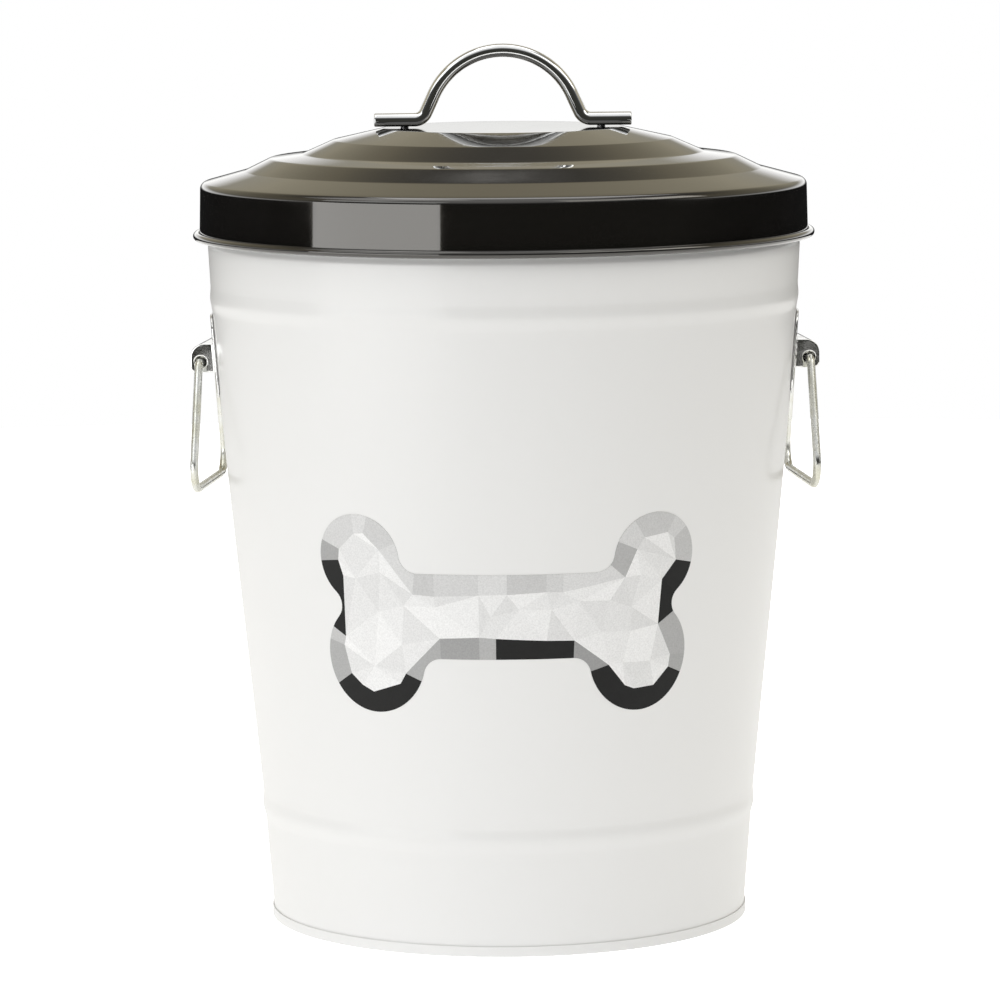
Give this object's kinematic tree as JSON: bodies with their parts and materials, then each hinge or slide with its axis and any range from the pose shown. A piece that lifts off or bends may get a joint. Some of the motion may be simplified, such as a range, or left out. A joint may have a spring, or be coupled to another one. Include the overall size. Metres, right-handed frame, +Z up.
{
  "type": "pet food bin",
  "caption": "Tapered metal pet food bin with a stepped lift-off lid, an arched lid handle and a swinging wire ring on each side.",
  "frame": {"origin": "centre of the folded ring that the bin stands on", "axes": "+Z up; the printed front faces -Y; the lid handle runs along X and a ring hangs at each X side"},
  "size_m": [0.3086, 0.3038, 0.4288],
  "materials": {
    "white_paint": "satin",
    "black_paint": "gloss",
    "chrome": "polished",
    "bright_plate": "satin",
    "zinc_wire": "satin",
    "steel": "satin",
    "print_ink": "satin"
  },
  "bodies": {
    "bucket": {"bucket_wall": "white_paint", "floor_pan": "white_paint", "rim_wire": "steel", "left_ear": "bright_plate", "right_ear": "bright_plate", "left_ear_rivet_upper": "bright_plate", "left_ear_rivet_lower": "bright_plate", "right_ear_rivet_upper": "bright_plate", "right_ear_rivet_lower": "bright_plate"},
    "lid": {"lid_shell": "black_paint", "lid_edge_wire": "steel", "lid_handle": "chrome", "handle_screw_left": "steel", "handle_screw_right": "steel", "handle_washer_left": "steel", "handle_washer_right": "steel"},
    "ring_left": {"left_ring": "zinc_wire"},
    "ring_right": {"right_ring": "zinc_wire"}
  },
  "joints": [
    {"name": "lid_lift", "type": "slide", "parent": "bucket", "child": "lid", "axis": [0, 0, 1], "range_m": [0, 0.15]},
    {"name": "right_ring_swing", "type": "hinge", "parent": "bucket", "child": "ring_right", "pos_m": [0.14669, 0.01671, 0.2745], "axis": [0.1132, -0.9936, 0], "range_deg": [-8, 168]},
    {"name": "left_ring_swing", "type": "hinge", "parent": "bucket", "child": "ring_left", "pos_m": [-0.14669, 0.01671, 0.2745], "axis": [0.1132, 0.9936, 0], "range_deg": [-8, 168]}
  ]
}
